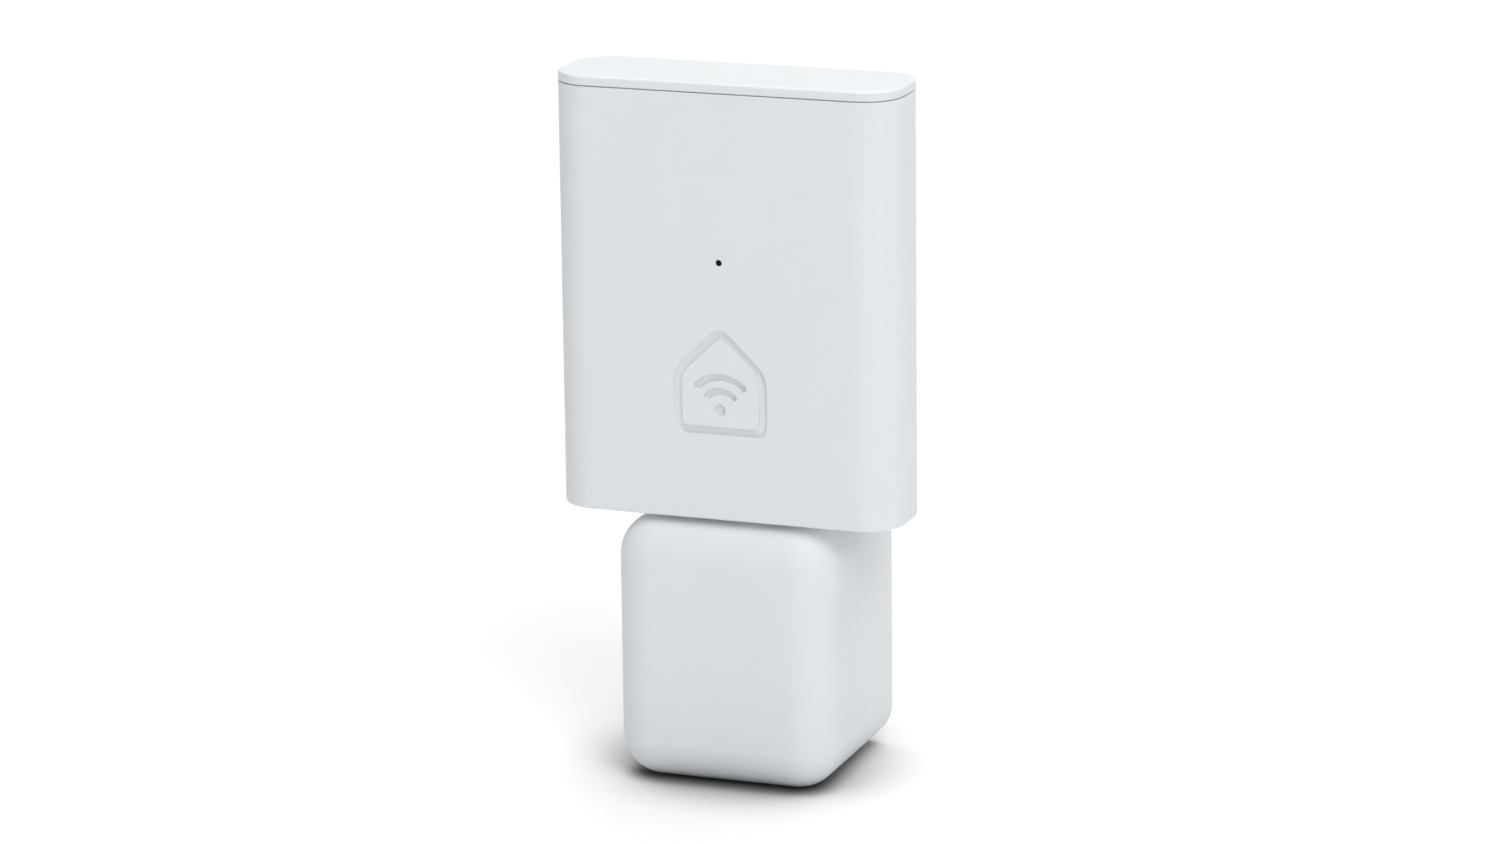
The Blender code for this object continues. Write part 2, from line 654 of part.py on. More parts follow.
def build_port(metal, plastic, gold):
    """The adapter's USB-A port, opening upwards, its contacts facing the front."""
    centre = (0.0, HUB_Y)
    outer = rounded_rect(PORT_W + 2 * USB_SHEET, PORT_T + 2 * USB_SHEET, 0.7, 3, centre)
    inner = rounded_rect(PORT_W, PORT_T, 0.45, 3, centre)
    flare = rounded_rect(PORT_W + USB_SHEET, PORT_T + USB_SHEET, 0.6, 3, centre)
    rings = [
        (outer, PORT_FLOOR),
        (outer, PORT_TOP),
        (flare, PORT_TOP),
        (inner, PORT_TOP - 0.4),
        (inner, PORT_FLOOR),
    ]
    shell = loft("usb_port_shell", rings, metal, closed=True)
    leaf_x, leaf_half, slit = 2.9, 0.93, 0.35
    top, foot = PORT_TOP - 2.0, PORT_TOP - 6.8
    for x in (-leaf_x, leaf_x):
        left, right = x - leaf_half, x + leaf_half
        outline = strip([(left, top), (left, foot), (right, foot), (right, top)], slit)
        for side in (-1, 1):
            wall = HUB_Y + side * (PORT_T + USB_SHEET) / 2
            slits = prism(f"leaf_{x}_{side}", outline, wall - 0.8, wall + 0.8, None, "Y")
            cut(shell, slits)

    low, high, thick, lead = PORT_FLOOR + 0.2, PORT_TOP - 1.3, 1.55, 0.3
    outline = [
        (PORT_FACE, low),
        (PORT_FACE + thick, low),
        (PORT_FACE + thick, high - lead),
        (PORT_FACE + thick - lead, high),
        (PORT_FACE + lead, high),
        (PORT_FACE, high - lead),
    ]
    tongue = prism("usb_port_tongue", outline, -5.45, 5.45, plastic, "X")
    fuse(tongue, block("port_floor", (-5.9, HUB_Y - 2.3, low), (5.9, HUB_Y + 2.3, low + 1.2)))
    for number, x in enumerate(CONTACT_X, 1):
        span = (low + 3.0, high - (1.7 if number in (1, 4) else 2.6))
        contact(f"usb_port_contact_{number}", x, PORT_FACE, 1, span, tongue, gold)


def build_adapter_boards(board, looks):
    """The main board across the adapter, the port's board, and what stands on both."""
    outline = rounded_rect(24.6, 29.8, 3.4, 5, ADAPTER_MIDDLE)
    prism("adapter_main_board", outline, MAIN_FRONT, MAIN_BACK, board, "Y")
    left, right, front, back = -12.2, 7.5, -8.0, MAIN_FRONT - GAP
    middle = ((left + right) / 2, (front + back) / 2)
    outline = rounded_rect(right - left, back - front, 1.0, 3, middle)
    prism("usb_port_board", outline, PORT_BOARD_LOW, PORT_BOARD_HIGH, board)

    floor = PORT_BOARD_HIGH + GAP
    for number, z in enumerate((6.2, 13.4), 1):
        capacitor(f"input_capacitor_{number}", (7.6, z), 3.2, (back, -6.0), looks["sleeve"], "Y")
    capacitor("output_capacitor", (-9.7, 1.6), 2.5, (floor, 30.3), looks["sleeve_green"], "Z")
    disc = [(2.2, 1.6), (3.3, 2.2), (3.5, 3.0), (3.3, 3.8), (2.2, 4.4)]
    turned("safety_capacitor", disc, (0.0, 26.4), looks["blue"], "Y")
    ends, waist = [(1.0, 0.0), (1.6, 0.6), (1.6, 2.4)], [(1.35, 2.9), (1.35, 6.1)]
    ends_above = [(radius, 9.0 - rise) for radius, rise in reversed(ends)]
    resistor = [(radius, 20.2 + rise) for radius, rise in ends + waist + ends_above]
    turned("fusible_resistor", resistor, (10.0, 3.0), looks["green"])
    rim, core, height = 2.5, 1.9, 7.6
    drum = [(rim, 0.0), (rim, 0.8), (core, 1.0), (core, height - 1.0), (rim, height - 0.8), (rim, height)]
    drum = [(radius, PORT_BOARD_HIGH + 0.4 + rise) for radius, rise in drum]
    turned("input_inductor", drum, (9.8, -3.6), looks["ferrite"])
    chip("bridge_rectifier", (0.0, 26.0), (4.8, 4.0, 1.6), MAIN_BACK, 1, looks["chip"], 2)
    chip("switching_controller", (0.0, 8.0), (3.9, 5.0, 1.5), MAIN_BACK, 1, looks["chip"], 4)


def build_transformer(ferrite, plastic, tape):
    """Two E-shaped core halves that meet inside a wound bobbin, the middle leg along X."""
    for side, word in ((-1, "left"), (1, "right")):
        meet, outer, window = (COIL_X + side * reach for reach in (0.05, CORE_X, CORE_X - YOKE))
        upper = [
            (meet, LEG),
            (window, LEG),
            (window, CORE_Z - YOKE),
            (meet, CORE_Z - YOKE),
            (meet, CORE_Z),
            (outer, CORE_Z),
        ]
        outline = [(x, COIL_Z + rise) for x, rise in upper]
        outline += [(x, COIL_Z - rise) for x, rise in reversed(upper)]
        low, high = COIL_Y - CORE_Y, COIL_Y + CORE_Y
        prism(f"transformer_core_{word}", outline, low, high, ferrite, "Y")

    def section(deep, high, radius):
        return rounded_rect(deep, high, radius, 2, (COIL_Y, COIL_Z))

    tube, flange, bore = section(7.2, 4.6, 0.3), section(10.6, 8.6, 0.5), section(6.0, 3.6, 0.3)
    near, far = 4.0, 4.6
    rings = [(bore, -far), (flange, -far), (flange, -near), (tube, -near)]
    rings += [(ring, -x) for ring, x in reversed(rings)]
    rings = [(ring, COIL_X + x) for ring, x in rings]
    bobbin = loft("transformer_bobbin", rings, plastic, "X", closed=True)
    for side in (-1, 1):
        corner = (COIL_X + side * 4.1, COIL_Y + CORE_Y + GAP, COIL_Z - 4.3)
        opposite = (COIL_X + side * 6.4, MAIN_FRONT - GAP, COIL_Z + 4.3)
        fuse(bobbin, block(f"pin_rail_{side}", corner, opposite))

    inner, outer, small = section(7.5, 4.9, 0.3), section(9.8, 8.0, 1.4), section(9.4, 7.6, 1.2)
    rings = [(inner, -3.85), (small, -3.85), (outer, -3.6)]
    rings += [(ring, -x) for ring, x in reversed(rings)]
    rings = [(ring, COIL_X + x) for ring, x in rings]
    loft("transformer_winding", rings, tape, "X", closed=True)


def main():
    for obj in list(bpy.data.objects):
        bpy.data.objects.remove(obj)
    white = material("white_plastic", (0.80, 0.81, 0.82), 0.42)
    metal = material("nickel", (0.72, 0.71, 0.68), 0.28, 1.0)
    gold = material("gold_plate", (0.95, 0.72, 0.32), 0.25, 1.0)
    bronze = material("spring_bronze", (0.72, 0.52, 0.33), 0.35, 1.0)
    black = material("black_insulator", (0.03, 0.03, 0.035), 0.5)
    tongue = material("port_insulator", (0.75, 0.75, 0.72), 0.5)
    ferrite = material("ferrite", (0.07, 0.07, 0.075), 0.6)
    tape = material("winding_tape", (0.80, 0.62, 0.12), 0.4)
    adapter_board = material("adapter_board", (0.55, 0.42, 0.20), 0.5)
    hub_board = material("hub_board", (0.03, 0.20, 0.10), 0.35)
    looks = {
        "ferrite": ferrite,
        "gold": gold,
        "sleeve": material("capacitor_sleeve", (0.05, 0.06, 0.10), 0.35),
        "sleeve_green": material("output_sleeve", (0.05, 0.22, 0.16), 0.35),
        "blue": material("safety_coat", (0.05, 0.20, 0.50), 0.35),
        "green": material("resistor_coat", (0.20, 0.42, 0.38), 0.45),
        "chip": material("chip_resin", (0.035, 0.035, 0.04), 0.55),
        "module": material("module_board", (0.02, 0.03, 0.06), 0.35),
        "tin": material("tin_shield", (0.70, 0.70, 0.69), 0.3, 1.0),
        "can": material("capacitor_can", (0.78, 0.78, 0.78), 0.3, 1.0),
        "led": material("led_lens", (0.85, 0.83, 0.70), 0.3),
        "pipe": material("light_pipe", (0.10, 0.10, 0.11), 0.15),
    }

    build_adapter_case(white, metal, bronze)
    build_port(metal, tongue, gold)
    build_adapter_boards(adapter_board, looks)
    build_transformer(ferrite, black, tape)

    switch, pressed = build_button(white, looks["chip"], black)
    on_hub = [build_hub_housing(white), build_hub_cap(white), switch]
    on_hub += build_plug(metal, black, gold)
    on_hub += build_hub_board(hub_board, looks)
    hub_joint = ride_on_joint("hub_joint", (0.0, HUB_Y, HUB_Z), on_hub)
    ride_on_joint("reset_joint", (0.0, HUB_BACK, BUTTON_Z), pressed, hub_joint)
    settle()


main()
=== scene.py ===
import json
import math

import bmesh
import bpy
from mathutils import Matrix, Vector


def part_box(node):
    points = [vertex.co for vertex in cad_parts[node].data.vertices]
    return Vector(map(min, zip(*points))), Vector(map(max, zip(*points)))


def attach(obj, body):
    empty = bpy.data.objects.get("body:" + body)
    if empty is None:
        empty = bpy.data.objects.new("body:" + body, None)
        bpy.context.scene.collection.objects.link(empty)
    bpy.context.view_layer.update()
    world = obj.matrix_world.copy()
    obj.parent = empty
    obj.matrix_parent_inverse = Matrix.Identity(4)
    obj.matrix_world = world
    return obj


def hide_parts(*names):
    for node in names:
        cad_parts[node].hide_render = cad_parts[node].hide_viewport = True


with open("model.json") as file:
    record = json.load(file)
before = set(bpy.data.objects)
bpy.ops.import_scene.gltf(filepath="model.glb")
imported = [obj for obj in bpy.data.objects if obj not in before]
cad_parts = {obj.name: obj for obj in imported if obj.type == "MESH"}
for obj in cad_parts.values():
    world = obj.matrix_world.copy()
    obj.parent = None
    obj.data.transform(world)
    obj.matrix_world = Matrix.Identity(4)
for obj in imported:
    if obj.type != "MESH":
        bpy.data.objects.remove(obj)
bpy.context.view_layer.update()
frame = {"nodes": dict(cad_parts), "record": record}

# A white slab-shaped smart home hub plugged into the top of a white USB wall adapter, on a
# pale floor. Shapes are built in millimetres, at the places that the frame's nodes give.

MM = 0.001
CREASE = math.radians(32)


def box_mm(node):
    """A CAD node's lowest and highest corners, in millimetres."""
    low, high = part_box(node)
    return low / MM, high / MM


# Places and sizes ---------------------------------------------------------------------------

housing_low, housing_high = box_mm("hub_housing")
lid_high = box_mm("hub_top_cap")[1]
shell_low, shell_high = box_mm("adapter_shell")
plate_low = box_mm("adapter_back_plate")[0]
plug_low, plug_high = box_mm("usb_plug_shell")
port_low, port_high = box_mm("usb_port_shell")
button_low, button_high = box_mm("reset_button")
pipe_low, pipe_high = box_mm("led_light_pipe")

HUB_W, HUB_D = housing_high.x - housing_low.x, housing_high.y - housing_low.y
HUB_Y = (housing_low.y + housing_high.y) / 2
HUB_FRONT, HUB_BACK = housing_low.y, housing_high.y
HUB_Z, SEAM_Z, HUB_TOP = housing_low.z, housing_high.z, lid_high.z
HUB_CORNER, HUB_WALL = 5.0, 1.5
INNER_FRONT, INNER_BACK = HUB_FRONT + HUB_WALL, HUB_BACK - HUB_WALL
HUB_RIM, LID_RIM, SEAM_EASE = 0.35, 0.34, 0.08
RIM_Z = SEAM_Z + 0.14
LID_THICK, LID_FIT = 1.5, HUB_WALL + 0.2
SKIRT_THICK, SKIRT_DEPTH = 1.0, 2.6
CATCH_X, CATCH_HALF, CATCH_NOSE, CATCH_REACH = 12.0, 3.0, 0.55, 5.9

LED_Z, LED_HOLE = (pipe_low.z + pipe_high.z) / 2, 0.8
EMBLEM_Z, EMBLEM_GROOVE, EMBLEM_DEPTH = HUB_Z + 17.9, 1.1, 0.45
BUTTON_Z, BUTTON_R = (button_low.z + button_high.z) / 2, 2.2

ADAPTER_W, ADAPTER_H = shell_high.x - shell_low.x, shell_high.z
ADAPTER_FRONT, ADAPTER_BACK = shell_low.y, shell_high.y
ADAPTER_MIDDLE = (0.0, ADAPTER_H / 2)
ADAPTER_CORNER, ADAPTER_WALL = 5.5, 1.6
PLATE_FRONT = plate_low.y

PLUG_W, PLUG_T = plug_high.x - plug_low.x, plug_high.y - plug_low.y
PORT_W, PORT_T = port_high.x - port_low.x, port_high.y - port_low.y
USB_SHEET, USB_CORNER = 0.3, 0.6
WINDOW_X, WINDOW_W, WINDOW_H, WINDOW_DROP = 2.9, 2.3, 1.9, 6.05

BLADE_H, BLADE_NOSE, BLADE_EASE = 6.35, 2.4, 0.22
BLADE_HOLE_R, BLADE_HOLE_BACK, BLADE_HOLE_EASE = 1.55, 4.2, 0.12

GAP = 0.3  # clearance round a piece in its opening
OVERLAP = 0.5  # how far a fused or cutting body reaches past the wall's face
CORNER_STEPS, RIM_STEPS = 20, 4

EASE_LIMIT, EASE_SHARE, EASE_ANGLE = 0.06 * MM, 0.08, math.radians(40)
FINE_NODES = {"hub_housing", "hub_top_cap", "led_light_pipe", "usb_plug_shell", "reset_button"}
FINE_NODES |= {"adapter_shell", "adapter_back_plate", "prong_left", "prong_right"}

# The studio, in metres, watts and degrees.
FLOOR_HALF, FLOOR_TONE = 4.0, (0.90, 0.90, 0.90)
# The floor's painted contact shadow: the reach of the occlusion it is drawn from, its darkest tone and
# its strength at the adapter's back.
CONTACT_REACH, CONTACT_SHADE, BACK_PAINTED_SHADOW = 0.022, 0.2, 0.3
FLOOR_GLOW, FAR_GLOW, FAR_REACH = 0.08, 0.66, (0.5, 2.2)
BACKDROP_R, BACKDROP_H = 3.9, 6.0
DIM_SIDE, BRIGHT_SIDE = (0.075, 0.072, 0.069, 1.0), (0.235, 0.262, 0.285, 1.0)
TOWARD_BRIGHT = (0.6, -0.8, 0.0)
LIGHTS_AIM = (0.0, 0.0, 0.05)
CAMERA_LENS, CAMERA_PLACE = 132.7, (0.2346, -0.6324, 0.2189)
CAMERA_YAW, CAMERA_PITCH, CAMERA_ROLL = 20.354, 14.478, -0.641


# Bodies -------------------------------------------------------------------------------------

tools = []


def add_object(name, data):
    obj = bpy.data.objects.new(name, data)
    bpy.context.scene.collection.objects.link(obj)
    return obj


def add_mesh(name, bm):
    """An object from a bmesh, which is used up."""
    mesh = bpy.data.meshes.new(name)
    bm.to_mesh(mesh)
    bm.free()
    return add_object(name, mesh)


def solid(name, bm, look=None):
    """An object from a closed bmesh in millimetres; without a look it is a shaping tool."""
    bmesh.ops.recalc_face_normals(bm, faces=bm.faces)
    bmesh.ops.scale(bm, vec=(MM, MM, MM), verts=bm.verts)
    obj = add_mesh(name, bm)
    if look:
        obj.data.materials.append(look)
    else:
        tools.append(obj)
    return obj


def place(point, height, axis):
    """A point of an outline and its height along the axis, as X, Y, Z."""
    u, v = point
    return {"X": (height, u, v), "Y": (u, height, v), "Z": (u, v, height)}[axis]


def loft(name, rings, look=None, axis="Z", closed=False):
    """A body from (outline, height) rings joined in order; closed joins the last to the first."""
    bm = bmesh.new()
    rows = [[bm.verts.new(place(p, height, axis)) for p in ring] for ring, height in rings]
    pairs = list(zip(rows, rows[1:]))
    if closed:
        pairs.append((rows[-1], rows[0]))
    else:
        bm.faces.new(rows[0])
        bm.faces.new(rows[-1])
    for low, high in pairs:
        for i in range(len(low)):
            j = (i + 1) % len(low)
            bm.faces.new((low[i], low[j], high[j], high[i]))
    return solid(name, bm, look)


def turned(name, profile, centre, look=None, axis="Z", steps=64):
    """A body turned about an axis through centre, from (radius, height) pairs."""
    rings = [(circle(radius, steps, centre), height) for radius, height in profile]
    return loft(name, rings, look, axis)


def block(name, low, high):
    """A box between two opposite corners, for shaping other bodies."""
    bm = bmesh.new()
    bmesh.ops.create_cube(bm, size=1.0)
    bmesh.ops.scale(bm, vec=[abs(b - a) for a, b in zip(low, high)], verts=bm.verts)
    bmesh.ops.translate(bm, vec=[(a + b) / 2 for a, b in zip(low, high)], verts=bm.verts)
    return solid(name, bm)


def shape(target, operation, *others):
    """Adds a Boolean with each of the other bodies."""
    for other in others:
        modifier = target.modifiers.new(other.name, "BOOLEAN")
        modifier.operation = operation
        modifier.solver = "EXACT"
        modifier.object = other


def cut(target, *others):
    shape(target, "DIFFERENCE", *others)


def fuse(target, *others):
    shape(target, "UNION", *others)


def finish_surface(obj):
    """Smooth shading that stays flat on flat faces and breaks only at true corners."""
    obj.data.shade_smooth()
    obj.data.set_sharp_from_angle(angle=CREASE)
    normals = obj.modifiers.new("even normals", "WEIGHTED_NORMAL")
    normals.keep_sharp = True
    normals.weight = 100


def settle(pieces):
    """Works the Booleans into the meshes, removes the tools and finishes each surface."""
    graph = bpy.context.evaluated_depsgraph_get()
    shaped = [obj for obj in pieces if obj.modifiers]
    meshes = [bpy.data.meshes.new_from_object(obj.evaluated_get(graph)) for obj in shaped]
    for obj, mesh in zip(shaped, meshes):
        obj.modifiers.clear()
        obj.data = mesh
        mesh.name = obj.name
    for tool in tools:
        bpy.data.objects.remove(tool)
    for obj in pieces:
        finish_surface(obj)


# Outlines -----------------------------------------------------------------------------------


def circle(radius, steps, centre):
    turns = [math.tau * i / steps for i in range(steps)]
    u, v = centre
    return [(u + radius * math.cos(turn), v + radius * math.sin(turn)) for turn in turns]


def rounded_rect(width, height, radius, steps, centre):
    """A rectangle with round corners, anticlockwise."""
    points = []
    for quarter, (across, up) in enumerate(((1, 1), (-1, 1), (-1, -1), (1, -1))):
        u = centre[0] + across * (width / 2 - radius)
        v = centre[1] + up * (height / 2 - radius)
        for i in range(steps + 1):
            angle = math.radians(90 * (quarter + i / steps))
            points.append((u + radius * math.cos(angle), v + radius * math.sin(angle)))
    return points


def inset(outline, distance):
    """The outline moved inwards by distance, corner by corner."""
    points = [Vector(p) for p in outline]
    area = sum(a.cross(b) for a, b in zip(points, points[1:] + points[:1]))
    sign = 1 if area > 0 else -1
    moved = []
    for i, here in enumerate(points):
        before = (here - points[i - 1]).normalized()
        after = (points[(i + 1) % len(points)] - here).normalized()
        inward = Vector((-before.y - after.y, before.x + after.x)).normalized() * sign
        lean = inward.dot(Vector((-before.y, before.x)) * sign)
        moved.append(tuple(here + inward * distance / lean))
    return moved


def rounded_polygon(corners, radius, steps):
    """A polygon with each corner replaced by a short curve."""
    points = []
    for i, corner in enumerate(corners):
        here = Vector(corner)
        start = here + (Vector(corners[i - 1]) - here).normalized() * radius
        end = here + (Vector(corners[(i + 1) % len(corners)]) - here).normalized() * radius
        for step in range(steps + 1):
            t = step / steps
            points.append(tuple(start * (1 - t) ** 2 + here * 2 * t * (1 - t) + end * t**2))
    return points


def arc_slot(centre, radius, half_width, first, last, steps=24, end_steps=8):
    """A band along an arc, with round ends; angles in degrees."""
    def on(angle, reach, middle=centre):
        turn = math.radians(angle)
        return (middle[0] + reach * math.cos(turn), middle[1] + reach * math.sin(turn))

    span = [first + (last - first) * i / steps for i in range(steps + 1)]
    half_turn = [180 * i / end_steps for i in range(1, end_steps)]
    points = [on(a, radius + half_width) for a in span]
    points += [on(last + turn, half_width, on(last, radius)) for turn in half_turn]
    points += [on(a, radius - half_width) for a in reversed(span)]
    points += [on(first + 180 + turn, half_width, on(first, radius)) for turn in half_turn]
    return points


def round_over(outline, end, inward, radius, steps):
    """Rings that round off an end: outline(shrink) from the end's face to its full size."""
    rings = []
    for i in range(steps + 1):
        angle = math.pi / 2 * i / steps
        height = end + inward * radius * (1 - math.cos(angle))
        rings.append((outline(radius * (1 - math.sin(angle))), height))
    return rings


def eased(outline, surface, inward, ease, through):
    """Rings of a hole's tool: outline(grow) is widest above the surface and eased in below it."""
    rings = [(outline(ease), surface - inward)]
    for i in range(RIM_STEPS + 1):
        angle = math.pi / 2 * i / RIM_STEPS
        depth = ease * (1 - math.cos(angle))
        rings.append((outline(ease * (1 - math.sin(angle))), surface + inward * depth))
    rings.append((outline(0.0), through))
    return rings


def hub_outline(shrink):
    """The hub's plan, moved inwards by shrink."""
    size = (HUB_W - 2 * shrink, HUB_D - 2 * shrink)
    return rounded_rect(*size, HUB_CORNER - shrink, CORNER_STEPS, (0.0, HUB_Y))


def adapter_outline(shrink):
    """The adapter seen from the front, moved inwards by shrink."""
    size = (ADAPTER_W - 2 * shrink, ADAPTER_H - 2 * shrink)
    return rounded_rect(*size, ADAPTER_CORNER - shrink, CORNER_STEPS, ADAPTER_MIDDLE)


# Looks --------------------------------------------------------------------------------------


class Look:
    """A material whose colour, gloss and relief come from noises over the piece, in metres."""

    def __init__(self, name, colour, roughness, metallic=0.0, specular=0.5):
        self.material = bpy.data.materials.new(name)
        self.material.use_nodes = True
        self.nodes = self.material.node_tree.nodes
        self.shader = self.nodes["Principled BSDF"]
        self.colour, self.roughness = colour, roughness
        self.shader.inputs["Base Color"].default_value = (*colour, 1.0)
        self.shader.inputs["Roughness"].default_value = roughness
        self.shader.inputs["Metallic"].default_value = metallic
        self.shader.inputs["Specular IOR Level"].default_value = specular
        self.relief = None

    def join(self, source, target):
        self.material.node_tree.links.new(source, target)

    def place(self, stretch=(1.0, 1.0, 1.0)):
        """The piece's own coordinates, in metres, stretched."""
        coordinates = self.nodes.new("ShaderNodeTexCoord")
        mapping = self.nodes.new("ShaderNodeMapping")
        mapping.inputs["Scale"].default_value = stretch
        self.join(coordinates.outputs["Object"], mapping.inputs["Vector"])
        return mapping.outputs["Vector"]

    def noise(self, size, detail=3.0, stretch=(1.0, 1.0, 1.0)):
        """A noise with features about size metres across."""
        texture = self.nodes.new("ShaderNodeTexNoise")
        texture.inputs["Scale"].default_value = 1 / size
        texture.inputs["Detail"].default_value = detail
        self.join(self.place(stretch), texture.inputs["Vector"])
        return texture.outputs["Fac"]

    def cells(self, size):
        """The distance to the edges of irregular cells about size metres across."""
        texture = self.nodes.new("ShaderNodeTexVoronoi")
        texture.feature = "DISTANCE_TO_EDGE"
        texture.inputs["Scale"].default_value = 1 / size
        self.join(self.place(), texture.inputs["Vector"])
        return texture.outputs["Distance"]

    def dots(self, spacing):
        """The distance to scattered points about spacing metres apart, as a share of it."""
        texture = self.nodes.new("ShaderNodeTexVoronoi")
        texture.inputs["Scale"].default_value = 1 / spacing
        self.join(self.place(), texture.inputs["Vector"])
        return texture.outputs["Distance"]

    def blocks(self, size):
        """A random grey in each upright rectangle about size metres across."""
        texture = self.nodes.new("ShaderNodeTexVoronoi")
        texture.distance = "CHEBYCHEV"
        texture.inputs["Scale"].default_value = 1 / size
        self.join(self.place(), texture.inputs["Vector"])
        grey = self.nodes.new("ShaderNodeSeparateColor")
        self.join(texture.outputs["Color"], grey.inputs["Color"])
        return grey.outputs["Red"]

    def part(self, vector, axis):
        """One of a vector's three numbers."""
        parts = self.nodes.new("ShaderNodeSeparateXYZ")
        self.join(vector, parts.inputs["Vector"])
        return parts.outputs[axis]

    def product(self, first, second):
        """Two factors multiplied."""
        times = self.nodes.new("ShaderNodeMath")
        times.operation = "MULTIPLY"
        self.join(first, times.inputs[0])
        self.join(second, times.inputs[1])
        return times.outputs["Value"]

    def waves(self, size, axis):
        """Straight bands along an axis, each about size metres wide."""
        texture = self.nodes.new("ShaderNodeTexWave")
        texture.bands_direction = axis
        texture.inputs["Scale"].default_value = math.pi / (10 * size)
        self.join(self.place(), texture.inputs["Vector"])
        return texture.outputs["Fac"]

    def spread(self, factor, low, high, start=0.3, end=0.7, easing="LINEAR"):
        """The factor between start and end stretched to low and high."""
        ranged = self.nodes.new("ShaderNodeMapRange")
        ranged.interpolation_type = easing
        for name, value in (("From Min", start), ("From Max", end), ("To Min", low), ("To Max", high)):
            ranged.inputs[name].default_value = value
        self.join(factor, ranged.inputs["Value"])
        return ranged.outputs["Result"]

    def tint(self, factor, other, low=0.0, high=1.0, start=0.3, end=0.7, easing="LINEAR"):
        """Mixes the colour so far with another by the factor."""
        mix = self.nodes.new("ShaderNodeMix")
        mix.data_type = "RGBA"
        into = self.shader.inputs["Base Color"]
        if into.is_linked:
            self.join(into.links[0].from_socket, mix.inputs["A"])
        else:
            mix.inputs["A"].default_value = (*self.colour, 1.0)
        mix.inputs["B"].default_value = (*other, 1.0)
        self.join(self.spread(factor, low, high, start, end, easing), mix.inputs["Factor"])
        self.join(mix.outputs["Result"], into)
        return self

    def gloss(self, factor, swing):
        """Lets the roughness swing about its middle by the factor."""
        low, high = self.roughness - swing, self.roughness + swing
        self.join(self.spread(factor, low, high), self.shader.inputs["Roughness"])
        return self

    def glow(self, strength):
        """Gives it white light of its own, as strong as the factor."""
        self.join(strength, self.shader.inputs["Emission Strength"])
        self.shader.inputs["Emission Color"].default_value = (1.0, 1.0, 1.0, 1.0)
        return self

    def bump(self, factor, depth, strength=1.0):
        """Adds a relief of the given depth in metres on top of what is there."""
        node = self.nodes.new("ShaderNodeBump")
        node.inputs["Distance"].default_value = depth
        node.inputs["Strength"].default_value = strength
        self.join(factor, node.inputs["Height"])
        if self.relief:
            self.join(self.relief, node.inputs["Normal"])
        self.relief = node.outputs["Normal"]
        self.join(self.relief, self.shader.inputs["Normal"])
        return self


def shade(colour, amount):
    """The colour made darker or lighter."""
    return tuple(channel * amount for channel in colour)


def moulded(name, colour, roughness, grain=0.00012, depth=0.0000012):
    """Moulded plastic: a fine even grain, faint flow marks and slightly uneven gloss."""
    look = Look(name, colour, roughness, specular=0.25)
    flow = look.noise(0.011, 2.0, (1.0, 1.0, 0.6))
    look.tint(flow, shade(colour, 0.975))
    look.tint(look.noise(0.0009, 4.0), shade(colour, 0.985))
    look.gloss(look.noise(0.004, 4.0), 0.035)
    look.bump(look.noise(0.006, 1.0), 0.000004, 0.25)
    look.bump(look.noise(grain, 2.0), depth, 0.5)
    return look.material


def plated(name, colour, roughness, stretch):
    """Plated or drawn metal, its fine lines along one axis, with faint clouding."""
    look = Look(name, colour, roughness, metallic=1.0)
    lines = look.noise(0.0012, 5.0, stretch)
    look.tint(look.noise(0.009, 2.0), shade(colour, 0.93))
    look.gloss(lines, 0.05)
    look.bump(lines, 0.0000008, 0.35)
    return look.material


def circuit_board(name, mask, copper, roughness, track=0.0007, contrast=0.5):
    """Solder mask over copper: areas of pour, straight tracks both ways and small round vias."""
    look = Look(name, mask, roughness)
    look.tint(look.blocks(0.0065), copper, 0.0, 0.7 * contrast, 0.48, 0.52)
    for axis, size, zone in (("X", track, 0.005), ("Z", track * 1.4, 0.007)):
        inside = look.spread(look.blocks(zone), 0.0, 1.0, 0.58, 0.6)
        lines = look.product(look.waves(size, axis), inside)
        look.tint(lines, copper, 0.0, contrast, 0.6, 0.75)
    look.tint(look.dots(0.0032), shade(copper, 1.6), contrast, 0.0, 0.07, 0.09)
    look.gloss(look.noise(0.0006, 3.0), 0.05)
    look.bump(look.noise(0.0004, 2.0), 0.000004, 0.4)
    return look.material


def sintered(name, colour, roughness):
    """A dull ceramic or resin body, speckled and pitted."""
    look = Look(name, colour, roughness, specular=0.4)
    look.tint(look.noise(0.00025, 5.0), shade(colour, 2.2), 0.0, 0.6)
    look.gloss(look.noise(0.0008, 4.0), 0.08)
    look.bump(look.cells(0.0003), 0.000006, 0.5)
    return look.material


def sleeved(name, colour, stripe, roughness):
    """A can in a shrunk sleeve, with a stripe down its +X side and faint wrinkles."""
    look = Look(name, colour, roughness)
    coordinates = look.nodes.new("ShaderNodeTexCoord")
    across = look.part(coordinates.outputs["Generated"], "X")
    look.tint(across, stripe, 0.0, 0.8, 0.86, 0.88)
    look.gloss(look.noise(0.0015, 3.0), 0.06)
    look.bump(look.noise(0.002, 2.0), 0.00003, 0.5)
    return look.material


def wound(name, colour, roughness):
    """Yellow tape over a winding: overlapping laps, and the wire showing through as ridges."""
    look = Look(name, colour, roughness)
    wire = look.waves(0.00032, "X")
    look.tint(wire, (0.62, 0.36, 0.10), 0.0, 0.35)
    look.tint(look.noise(0.003, 2.0), shade(colour, 0.8))
    look.bump(wire, 0.00002, 0.6)
    look.bump(look.waves(0.0021, "Z"), 0.00003, 0.4)
    return look.material


def clear_plastic(name, colour, roughness, through, specular=0.5):
    """A clear or smoky moulding that lets light in."""
    look = Look(name, colour, roughness, specular=specular)
    look.shader.inputs["Transmission Weight"].default_value = through
    look.tint(look.noise(0.001, 3.0), shade(colour, 0.8))
    look.gloss(look.noise(0.0005, 3.0), 0.03)
    return look.material


